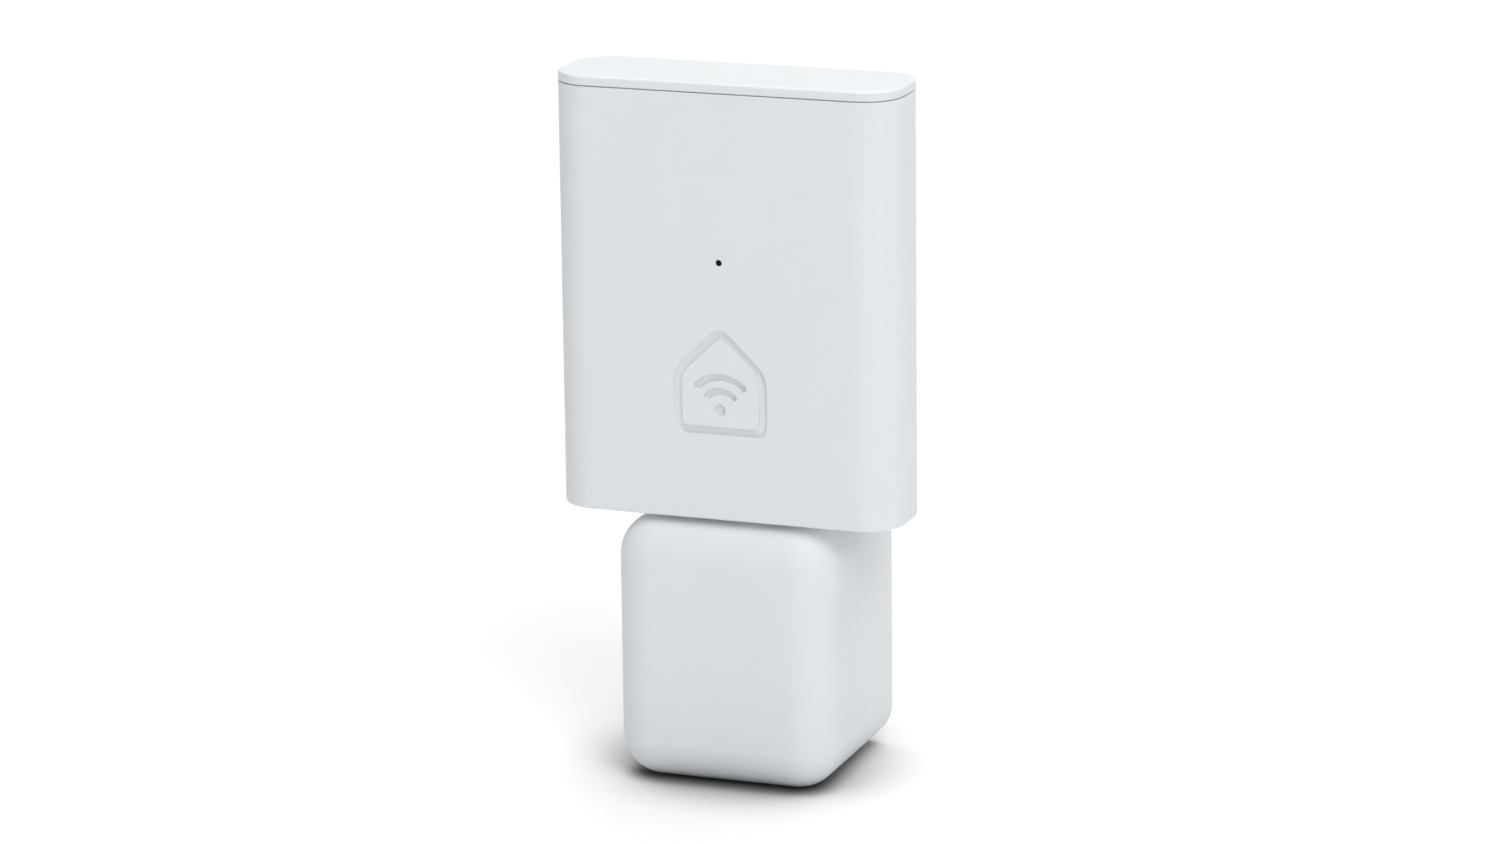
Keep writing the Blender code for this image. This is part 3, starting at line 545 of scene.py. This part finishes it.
def make_looks():
    """One material for each of the record's slots, by slot name, and the blades' own finish."""
    along_x, along_y, along_z = (0.4, 6.0, 6.0), (6.0, 0.4, 6.0), (6.0, 6.0, 0.4)
    return {
        "white_plastic": moulded("white_plastic", (0.795, 0.815, 0.830), 0.46),
        "nickel": plated("nickel", (0.66, 0.65, 0.62), 0.24, along_z),
        "blade_nickel": plated("blade_nickel", (0.66, 0.65, 0.62), 0.22, along_y),
        "spring_bronze": plated("spring_bronze", (0.72, 0.50, 0.31), 0.34, along_x),
        "gold_plate": plated("gold_plate", (0.93, 0.70, 0.33), 0.24, along_z),
        "black_insulator": moulded("black_insulator", (0.022, 0.022, 0.024), 0.46, 0.0002, 0.000003),
        "port_insulator": moulded("port_insulator", (0.76, 0.76, 0.73), 0.48, 0.0002, 0.000003),
        "ferrite": sintered("ferrite", (0.055, 0.055, 0.060), 0.6),
        "winding_tape": wound("winding_tape", (0.80, 0.60, 0.12), 0.34),
        "adapter_board": circuit_board(
            "adapter_board", (0.50, 0.36, 0.16), (0.40, 0.27, 0.11), 0.5, track=0.0014, contrast=0.35
        ),
        "hub_board": circuit_board("hub_board", (0.012, 0.13, 0.060), (0.035, 0.24, 0.10), 0.3),
        "module_board": circuit_board(
            "module_board", (0.010, 0.014, 0.030), (0.03, 0.04, 0.08), 0.32, track=0.0004
        ),
        "capacitor_sleeve": sleeved("capacitor_sleeve", (0.020, 0.026, 0.052), (0.62, 0.62, 0.60), 0.32),
        "output_sleeve": sleeved("output_sleeve", (0.020, 0.15, 0.11), (0.72, 0.66, 0.38), 0.32),
        "safety_coat": sintered("safety_coat", (0.035, 0.14, 0.40), 0.32),
        "resistor_coat": sintered("resistor_coat", (0.14, 0.34, 0.30), 0.42),
        "chip_resin": sintered("chip_resin", (0.020, 0.020, 0.022), 0.55),
        "tin_shield": plated("tin_shield", (0.72, 0.72, 0.70), 0.3, along_z),
        "capacitor_can": plated("capacitor_can", (0.80, 0.80, 0.80), 0.28, along_z),
        "led_lens": clear_plastic("led_lens", (0.86, 0.84, 0.70), 0.25, 0.3),
        # The light pipe is near black and lets no light through: painted shade, standing in for the dark
        # inside of the pinhole.
        "light_pipe": clear_plastic("light_pipe", (0.004, 0.004, 0.005), 0.5, 0.0, 0.15),
    }


# The hub ------------------------------------------------------------------------------------


def hub_housing(look):
    """The sleeve: rounded rims, rails and collar inside, holes with eased edges, the emblem."""
    rings = round_over(hub_outline, HUB_Z, 1, HUB_RIM, 6)
    rings += round_over(hub_outline, SEAM_Z, -1, SEAM_EASE, RIM_STEPS)[::-1]
    rings += [(hub_outline(HUB_WALL), SEAM_Z), (hub_outline(HUB_WALL), HUB_Z + HUB_WALL)]
    housing = loft("hub_housing_fine", rings, look)
    fuse(housing, *board_rails(), led_collar())
    cut(housing, led_hole(), button_hole(), plug_slot(), *catch_pockets(), *emblem_grooves())
    return housing


def board_rails():
    """Pairs of ribs on both short sides that hold the main board's edges."""
    board_low, board_high = box_mm("hub_main_board")
    thick, reach = 1.0, 2.2
    wall_x = HUB_W / 2 - HUB_WALL
    rails = []
    for side in (-1, 1):
        for y in (board_low.y - GAP - thick, board_high.y + GAP):
            low = (side * (wall_x - reach), y, HUB_Z + HUB_WALL - OVERLAP)
            high = (side * (wall_x + OVERLAP), y + thick, SEAM_Z - CATCH_REACH)
            rails.append(block(f"rail_{side}_{y:.0f}", low, high))
    return rails


def led_collar():
    """A short tube behind the front wall, round the light pipe."""
    outer_r, inner_r, length = 2.2, 1.6, 2.4
    low, high = INNER_FRONT - OVERLAP, INNER_FRONT + length
    outer, inner = (circle(radius, 32, (0.0, LED_Z)) for radius in (outer_r, inner_r))
    rings = [(outer, low), (outer, high), (inner, high), (inner, low)]
    return loft("led_collar", rings, axis="Y", closed=True)


def led_hole():
    """The pinhole in the front wall, with an eased edge."""
    def outline(grow):
        return circle(LED_HOLE / 2 + grow, 32, (0.0, LED_Z))

    rings = eased(outline, HUB_FRONT, 1, 0.1, INNER_FRONT + OVERLAP)
    return loft("led_hole", rings, axis="Y")


def button_hole():
    """The hole in the back wall that the reset button moves in."""
    def outline(grow):
        return circle(BUTTON_R + GAP + grow, 64, (0.0, BUTTON_Z))

    rings = eased(outline, HUB_BACK, -1, 0.2, INNER_BACK - OVERLAP)
    return loft("button_hole", rings, axis="Y")


def plug_slot():
    """The slot in the housing's bottom that the USB plug comes out of."""
    def outline(grow):
        size = (PLUG_W + 2 * (GAP + grow), PLUG_T + 2 * (GAP + grow))
        return rounded_rect(*size, 0.8 + grow, 8, (0.0, HUB_Y))

    return loft("plug_slot", eased(outline, HUB_Z, 1, 0.15, HUB_Z + HUB_WALL + OVERLAP))


def catch_places():
    """Each catch's X, and +1 or -1 for the back or the front wall."""
    return [(x, side) for x in (-CATCH_X, CATCH_X) for side in (-1, 1)]


def catch_pockets():
    """Pockets in the long walls that the lid's catches snap into."""
    room, depth, below, above = 0.4, 0.7, 0.1, 2.0
    tip = SEAM_Z - CATCH_REACH
    pockets = []
    for x, side in catch_places():
        wall = HUB_Y + side * (HUB_D / 2 - HUB_WALL)
        low = (x - CATCH_HALF - room, wall - side * OVERLAP, tip - below)
        high = (x + CATCH_HALF + room, wall + side * depth, tip + above)
        pockets.append(block(f"pocket_{x:.0f}_{side}", low, high))
    return pockets


def groove_profile(half_width):
    """(half width, depth) down one side of a groove: crisp lip, steep wall, small floor fillet."""
    lip, fillet = 0.03, 0.06
    points = [(half_width + lip, -1.0)]
    for i in range(3):
        angle = math.pi / 4 * i
        points.append((half_width + lip * (1 - math.sin(angle)), lip * (1 - math.cos(angle))))
    for i in range(4):
        angle = math.pi / 2 * i / 3
        reach = half_width - fillet * (1 - math.cos(angle))
        points.append((reach, EMBLEM_DEPTH - fillet * (1 - math.sin(angle))))
    return points


def emblem_grooves():
    """A generic mark pressed into the front: a house with a signal inside."""
    half, floor, eaves, ridge = 5.6, -6.4, 0.9, 6.3
    corner, dot_r, source, signal_share = 1.3, 0.75, (0.0, EMBLEM_Z - 3.7), 0.43
    corners = ((-half, floor), (half, floor), (half, eaves), (0.0, ridge), (-half, eaves))
    walls = [(x, EMBLEM_Z + z) for x, z in corners]

    def house(reach):
        return rounded_polygon(inset(walls, -reach), corner + 0.8 * reach, 10)

    profile = groove_profile(EMBLEM_GROOVE / 2)
    rings = [(house(reach), HUB_FRONT + depth) for reach, depth in profile]
    rings += [(house(-reach), HUB_FRONT + depth) for reach, depth in reversed(profile)]
    shapes = [loft("house_groove", rings, axis="Y", closed=True)]

    dot = [(circle(reach, 32, source), HUB_FRONT + depth) for reach, depth in groove_profile(dot_r)]
    shapes.append(loft("signal_dot", dot, axis="Y"))
    profile = groove_profile(signal_share * EMBLEM_GROOVE)
    for radius in (2.4, 4.2):
        bands = [(arc_slot(source, radius, reach, 45, 135), depth) for reach, depth in profile]
        rings = [(band, HUB_FRONT + depth) for band, depth in bands]
        shapes.append(loft(f"signal_{radius:.0f}", rings, axis="Y"))
    return shapes


def hub_lid(look):
    """The lid: rounded rim above the seam, a skirt inside the housing and four catches."""
    rings = round_over(hub_outline, HUB_TOP, -1, LID_RIM, 7)
    rings += round_over(hub_outline, RIM_Z, 1, SEAM_EASE, RIM_STEPS)[::-1]
    step, seat, skirt_end = 0.3, SEAM_Z + 0.03, SEAM_Z - SKIRT_DEPTH
    rings += [
        (hub_outline(step), RIM_Z),
        (hub_outline(step + 0.02), seat),
        (hub_outline(LID_FIT), seat),
        (hub_outline(LID_FIT), skirt_end),
        (hub_outline(LID_FIT + SKIRT_THICK), skirt_end),
        (hub_outline(LID_FIT + SKIRT_THICK), HUB_TOP - LID_THICK),
    ]
    lid = loft("hub_lid_fine", rings, look)
    tip, root, recess = SEAM_Z - CATCH_REACH, SEAM_Z - 2.0, 0.05
    for x, side in catch_places():
        face = HUB_Y + side * (HUB_D / 2 - LID_FIT - recess)
        inside, nose = face - side * (SKIRT_THICK - recess), face + side * CATCH_NOSE
        outline = [
            (inside, tip),
            (inside, root),
            (face, root),
            (face, tip + 1.7),
            (nose, tip + 1.5),
            (nose, tip + 1.1),
            (face, tip),
        ]
        ends = [(outline, x - CATCH_HALF), (outline, x + CATCH_HALF)]
        fuse(lid, loft(f"catch_{x:.0f}_{side}", ends, axis="X"))
    return lid


def reset_button(look):
    """The cap in the back wall: a flange inside, a rounded rim and a dished face."""
    flange_front, flange_back, face = button_low.y, INNER_BACK - GAP, button_high.y
    rim, ease, land, dish = BUTTON_R, 0.22, 0.1, 0.14
    flange = (button_high.x - button_low.x) / 2
    profile = [(flange, flange_front), (flange, flange_back), (rim, flange_back)]
    for i in range(6):
        angle = math.pi / 2 * i / 5
        profile.append((rim - ease * (1 - math.cos(angle)), face - ease * (1 - math.sin(angle))))
    bowl = rim - ease - land
    for i in range(1, 8):
        reach = bowl * (1 - i / 8)
        profile.append((reach, face - dish * (1 - (reach / bowl) ** 2)))
    return turned("reset_button_fine", profile, (0.0, BUTTON_Z), look, "Y")


def light_pipe(look):
    """The dark peg in the pinhole: a domed tip just under the surface, a wide flange behind. It fills
    the hole, and its near-black colour is painted shade for the hole's dark inside.
    """
    tip, flange = LED_HOLE / 2 - 0.03, (pipe_high.x - pipe_low.x) / 2
    face, dome = HUB_FRONT + 0.1, 0.08
    profile = []
    for i in range(6):
        angle = math.pi / 2 * i / 6
        profile.append((tip * math.sin(angle + math.pi / 12), face + dome * (1 - math.cos(angle))))
    profile += [
        (tip, face + 0.2),
        (tip, INNER_FRONT + 0.25),
        (flange - 0.1, INNER_FRONT + 0.5),
        (flange, INNER_FRONT + 0.6),
        (flange, pipe_high.y - 0.45),
        (flange - 0.3, pipe_high.y),
    ]
    return turned("led_light_pipe_fine", profile, (0.0, LED_Z), look, "Y", 32)


def plug_shell(look):
    """The folded sheet of the USB plug: rolled nose, four windows and the fold's seam."""
    def outside(shrink):
        size = (PLUG_W - 2 * shrink, PLUG_T - 2 * shrink)
        return rounded_rect(*size, USB_CORNER - shrink, 8, (0.0, HUB_Y))

    rings = round_over(outside, plug_low.z, 1, 0.16, 5)
    rings += [(outside(0.0), plug_high.z), (outside(USB_SHEET), plug_high.z)]
    rings.append((outside(USB_SHEET), plug_low.z))
    shell = loft("usb_plug_shell_fine", rings, look, closed=True)
    for x in (-WINDOW_X, WINDOW_X):
        window = rounded_rect(WINDOW_W, WINDOW_H, 0.2, 4, (x, HUB_Z - WINDOW_DROP))
        ends = [(window, HUB_Y - PLUG_T), (window, HUB_Y + PLUG_T)]
        cut(shell, loft(f"window_{x}", ends, axis="Y"))
    half_seam, seam_depth, past = 0.04, 0.12, 1.0
    seam_low = (-half_seam, HUB_Y - PLUG_T, plug_low.z - past)
    seam_high = (half_seam, HUB_Y - PLUG_T / 2 + seam_depth, HUB_Z + 2 * past)
    cut(shell, block("fold_seam", seam_low, seam_high))
    return shell


# The adapter --------------------------------------------------------------------------------


def rounded_front(shrink, steps):
    """Rings of the adapter's front, from its flat face back to its full outline."""
    def outline(more):
        return adapter_outline(shrink + more)

    bend = ADAPTER_CORNER - shrink - 0.15
    return round_over(outline, ADAPTER_FRONT + shrink, 1, bend, steps)


def adapter_shell(look):
    """The rounded block, open at the back, with the port's opening in its top."""
    outside = rounded_front(0.0, 22)
    outside += round_over(adapter_outline, ADAPTER_BACK, -1, 0.22, RIM_STEPS)[::-1]
    inside = rounded_front(ADAPTER_WALL, 8)
    inside.append((adapter_outline(ADAPTER_WALL), ADAPTER_BACK))
    shell = loft("adapter_shell_fine", outside + inside[::-1], look, "Y")

    def opening(grow):
        size = (PORT_W + 2 * (GAP + grow), PORT_T + 2 * (GAP + grow))
        return rounded_rect(*size, 0.9 + grow, 8, (0.0, HUB_Y))

    through = ADAPTER_H - ADAPTER_WALL - OVERLAP
    cut(shell, loft("port_opening", eased(opening, ADAPTER_H, -1, 0.2, through)))
    fuse(shell, *board_stops())
    return shell


def board_stops():
    """Ribs on both side walls that the adapter's main board rests against."""
    reach, thick, foot, headroom = 1.3, 1.2, 5.5, 1.0
    board_low = box_mm("adapter_main_board")[0]
    port_board_low = box_mm("usb_port_board")[0]
    wall_x = ADAPTER_W / 2 - ADAPTER_WALL
    stops = []
    for side in (-1, 1):
        low = (side * (wall_x - reach), board_low.y - GAP - thick, foot)
        high = (side * (wall_x + OVERLAP), board_low.y - GAP, port_board_low.z - headroom)
        stops.append(block(f"board_stop_{side}", low, high))
    return stops


def adapter_plate(look):
    """The plate that closes the back: eased edges, blade slots and a shallow plain panel."""
    def outline(shrink):
        return adapter_outline(ADAPTER_WALL + 0.2 + shrink)

    rings = round_over(outline, PLATE_FRONT, 1, 0.15, 3)
    rings += round_over(outline, ADAPTER_BACK, -1, 0.18, RIM_STEPS)[::-1]
    plate = loft("adapter_plate_fine", rings, look, "Y")
    cut(plate, blade_slot("left"), blade_slot("right"), label_recess())
    return plate


def blade_slot(word):
    """The slot that a blade comes through, with an eased edge."""
    low, high = box_mm(f"prong_{word}")
    middle = ((low.x + high.x) / 2, (low.z + high.z) / 2)
    room, corner, ease = 0.25, 0.3, 0.15

    def outline(grow):
        size = (high.x - low.x + 2 * (room + grow), BLADE_H + 2 * (room + grow))
        return rounded_rect(*size, corner + grow, 5, middle)

    rings = eased(outline, ADAPTER_BACK, -1, ease, PLATE_FRONT - OVERLAP)
    return loft(f"slot_{word}", rings, axis="Y")


def label_recess():
    """A plain shallow panel under the blades, with its edge eased and its wall sloped."""
    width, height, corner, middle = 17.0, 6.4, 1.2, (0.0, 8.4)
    ease, depth, slope = 0.05, 0.15, 0.08

    def outline(shrink):
        return rounded_rect(width - 2 * shrink, height - 2 * shrink, corner - shrink, 8, middle)

    rings = [(outline(-ease), ADAPTER_BACK + OVERLAP), (outline(-ease), ADAPTER_BACK)]
    rings += [(outline(0.0), ADAPTER_BACK - ease), (outline(slope), ADAPTER_BACK - depth)]
    return loft("label_recess", rings, axis="Y")


def blade(word, look):
    """A flat mains blade: round-nosed, rolled edges, a shoulder inside and a hole at its tip."""
    low, high = box_mm(f"prong_{word}")
    middle, half, tip, root = (low.z + high.z) / 2, BLADE_H / 2, high.y, low.y
    shoulder, stop, nose = (high.z - low.z) / 2, PLATE_FRONT - GAP, BLADE_NOSE
    upper = [(root, shoulder), (stop, shoulder), (stop, half)]
    for i in range(11):
        angle = math.pi / 2 * i / 10
        upper.append((tip - nose * (1 - math.sin(angle)), half - nose * (1 - math.cos(angle))))
    side = [(y, middle + rise) for y, rise in upper]
    side += [(y, middle - rise) for y, rise in reversed(upper)]

    def outline(shrink):
        return inset(side, shrink)

    rings = round_over(outline, low.x, 1, BLADE_EASE, RIM_STEPS)
    rings += round_over(outline, high.x, -1, BLADE_EASE, RIM_STEPS)[::-1]
    made = loft(f"prong_{word}_fine", rings, look, "X")
    ease, wide = BLADE_HOLE_EASE, BLADE_HOLE_R + BLADE_HOLE_EASE
    profile = [(wide, low.x - OVERLAP), (wide, low.x)]
    profile += [(BLADE_HOLE_R, low.x + ease), (BLADE_HOLE_R, high.x - ease)]
    profile += [(wide, high.x), (wide, high.x + OVERLAP)]
    centre = (tip - BLADE_HOLE_BACK, middle)
    cut(made, turned(f"prong_{word}_hole", profile, centre, axis="X", steps=40))
    return made


# Putting it together ------------------------------------------------------------------------


def make_pieces(looks):
    """Builds each fine piece and says what it rides on and which CAD node it stands for."""
    white, metal = looks["white_plastic"], looks["nickel"]
    made = [
        (hub_housing(white), "hub", "hub_housing", "white_plastic"),
        (hub_lid(white), "hub", "hub_top_cap", "white_plastic"),
        (light_pipe(looks["light_pipe"]), "hub", "led_light_pipe", "light_pipe"),
        (plug_shell(metal), "hub", "usb_plug_shell", "nickel"),
        (reset_button(white), "reset_button", "reset_button", "white_plastic"),
        (adapter_shell(white), "adapter", "adapter_shell", "white_plastic"),
        (adapter_plate(white), "adapter", "adapter_back_plate", "white_plastic"),
        (blade("left", looks["blade_nickel"]), "adapter", "prong_left", "nickel"),
        (blade("right", looks["blade_nickel"]), "adapter", "prong_right", "nickel"),
    ]
    settle([piece for piece, _, _, _ in made])
    for piece, body, node, slot in made:
        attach(piece, body)
        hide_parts(node)


def dress_nodes(looks):
    """Gives each CAD node that stays its look, and eases its sharp edges."""
    slots = {part["node"]: part["material_slot"] for part in frame["record"]["subparts"]}
    for name, node in frame["nodes"].items():
        for slot in node.material_slots:
            slot.material = looks[slots[name]]
        if name in FINE_NODES:
            continue
        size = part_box(name)[1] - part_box(name)[0]
        bevel = node.modifiers.new("eased edges", "BEVEL")
        bevel.width = min(EASE_LIMIT, EASE_SHARE * min(size))
        bevel.segments = 2
        bevel.limit_method = "ANGLE"
        bevel.angle_limit = EASE_ANGLE


def make_stage():
    """A wide pale floor that the adapter stands on, with a painted contact shadow: its colour darkens
    where things stand close, less so towards the adapter's back.
    """
    bm = bmesh.new()
    bmesh.ops.create_grid(bm, x_segments=8, y_segments=8, size=FLOOR_HALF)
    floor = add_mesh("floor", bm)
    floor.location.z = -0.00002
    look = Look("pale_floor", FLOOR_TONE, 0.7, specular=0.2)
    look.tint(look.noise(0.4, 2.0), shade(FLOOR_TONE, 0.99))
    look.gloss(look.noise(0.05, 3.0), 0.05)

    # Painted shadow: ambient occlusion darkens the floor's colour round the object, and this painted
    # shade weakens towards the adapter's back.
    nearby = look.nodes.new("ShaderNodeAmbientOcclusion")
    nearby.inputs["Distance"].default_value = CONTACT_REACH
    nearby.samples = 12
    openness = nearby.outputs["AO"]
    painted_shadow = look.spread(openness, 1.0, 0.0, 0.26, 0.86, "SMOOTHSTEP")
    depth = look.part(look.place(), "Y")
    painted_shadow_fade = look.spread(depth, 1.0, BACK_PAINTED_SHADOW, ADAPTER_FRONT * MM, ADAPTER_BACK * MM)
    look.tint(look.product(painted_shadow, painted_shadow_fade), shade(FLOOR_TONE, CONTACT_SHADE), start=0.0, end=1.0)

    # The floor's glow grows with distance so that the far floor stays white. It is held back where
    # things stand close, which is painted shade like the tint above.
    distance = look.nodes.new("ShaderNodeVectorMath")
    distance.operation = "LENGTH"
    look.join(look.place(), distance.inputs[0])
    far_glow = look.spread(distance.outputs["Value"], FLOOR_GLOW, FAR_GLOW, *FAR_REACH)
    look.glow(look.product(far_glow, look.spread(openness, 0.0, 1.0, 0.4, 0.9)))
    floor.data.materials.append(look.material)


def make_backdrop():
    """A tall pale ring round the floor, there to be looked at: it neither lights nor shades."""
    bm = bmesh.new()
    bmesh.ops.create_cone(bm, segments=64, radius1=BACKDROP_R, radius2=BACKDROP_R, depth=BACKDROP_H)
    bmesh.ops.translate(bm, vec=(0.0, 0.0, BACKDROP_H / 2 - 0.1), verts=bm.verts)
    backdrop = add_mesh("backdrop", bm)
    look = Look("pale_backdrop", (0.0, 0.0, 0.0), 1.0, specular=0.0)
    look.glow(look.spread(look.noise(2.0, 1.0), 0.93, 0.95))
    backdrop.data.materials.append(look.material)
    for ray in ("diffuse", "glossy", "transmission", "volume_scatter", "shadow"):
        setattr(backdrop, f"visible_{ray}", False)


def area_light(name, centre, size, power, colour=(1.0, 1.0, 1.0)):
    """A soft box, turned towards the object."""
    light = bpy.data.lights.new(name, "AREA")
    light.shape = "RECTANGLE"
    light.size, light.size_y = size
    light.energy = power
    light.color = colour
    lamp = add_object(name, light)
    lamp.location = centre
    lamp.rotation_euler = (Vector(centre) - Vector(LIGHTS_AIM)).to_track_quat("Z", "Y").to_euler()


def light_studio():
    """Soft light from all round, brightest from the front right, and three soft boxes."""
    world = bpy.data.worlds.new("studio")
    bpy.context.scene.world = world
    world.use_nodes = True
    nodes, links = world.node_tree.nodes, world.node_tree.links
    background = nodes["Background"]
    coordinates = nodes.new("ShaderNodeTexCoord")
    toward = nodes.new("ShaderNodeVectorMath")
    toward.operation = "DOT_PRODUCT"
    toward.inputs[1].default_value = TOWARD_BRIGHT
    ramp = nodes.new("ShaderNodeMapRange")
    ramp.inputs["From Min"].default_value = -1.0
    mix = nodes.new("ShaderNodeMix")
    mix.data_type = "RGBA"
    mix.inputs["A"].default_value = DIM_SIDE
    mix.inputs["B"].default_value = BRIGHT_SIDE
    links.new(coordinates.outputs["Generated"], toward.inputs[0])
    links.new(toward.outputs["Value"], ramp.inputs["Value"])
    links.new(ramp.outputs["Result"], mix.inputs["Factor"])
    links.new(mix.outputs["Result"], background.inputs["Color"])
    area_light("top_box", (0.0, 0.15, 1.7), (2.0, 2.0), 29.5, (1.0, 0.985, 0.97))
    area_light("back_box", (-0.05, 1.0, 1.0), (0.8, 0.5), 2.2)
    area_light("key_box", (0.62, -0.80, 1.05), (0.7, 0.7), 7.8, (0.98, 1.0, 1.0))


def aim_camera():
    """A long lens from the front right, a little above, as a camera on a stand would be."""
    yaw, pitch, roll = map(math.radians, (CAMERA_YAW, CAMERA_PITCH, CAMERA_ROLL))
    level = math.cos(pitch)
    back = Vector((math.sin(yaw) * level, -math.cos(yaw) * level, math.sin(pitch)))
    right = Vector((math.cos(yaw), math.sin(yaw), 0.0))
    up = back.cross(right)
    turned_right = math.cos(roll) * right + math.sin(roll) * up
    turned_up = math.cos(roll) * up - math.sin(roll) * right
    rotation = Matrix((turned_right, turned_up, back)).transposed()
    lens = bpy.data.cameras.new("camera")
    lens.sensor_width = 36.0
    lens.lens = CAMERA_LENS
    lens.clip_start = 0.01
    lens.clip_end = 50.0
    camera = add_object("camera", lens)
    camera.matrix_world = Matrix.Translation(CAMERA_PLACE) @ rotation.to_4x4()
    bpy.context.scene.camera = camera


def main():
    bpy.context.scene.view_settings.view_transform = "Standard"
    looks = make_looks()
    dress_nodes(looks)
    make_pieces(looks)
    make_stage()
    make_backdrop()
    light_studio()
    aim_camera()


main()
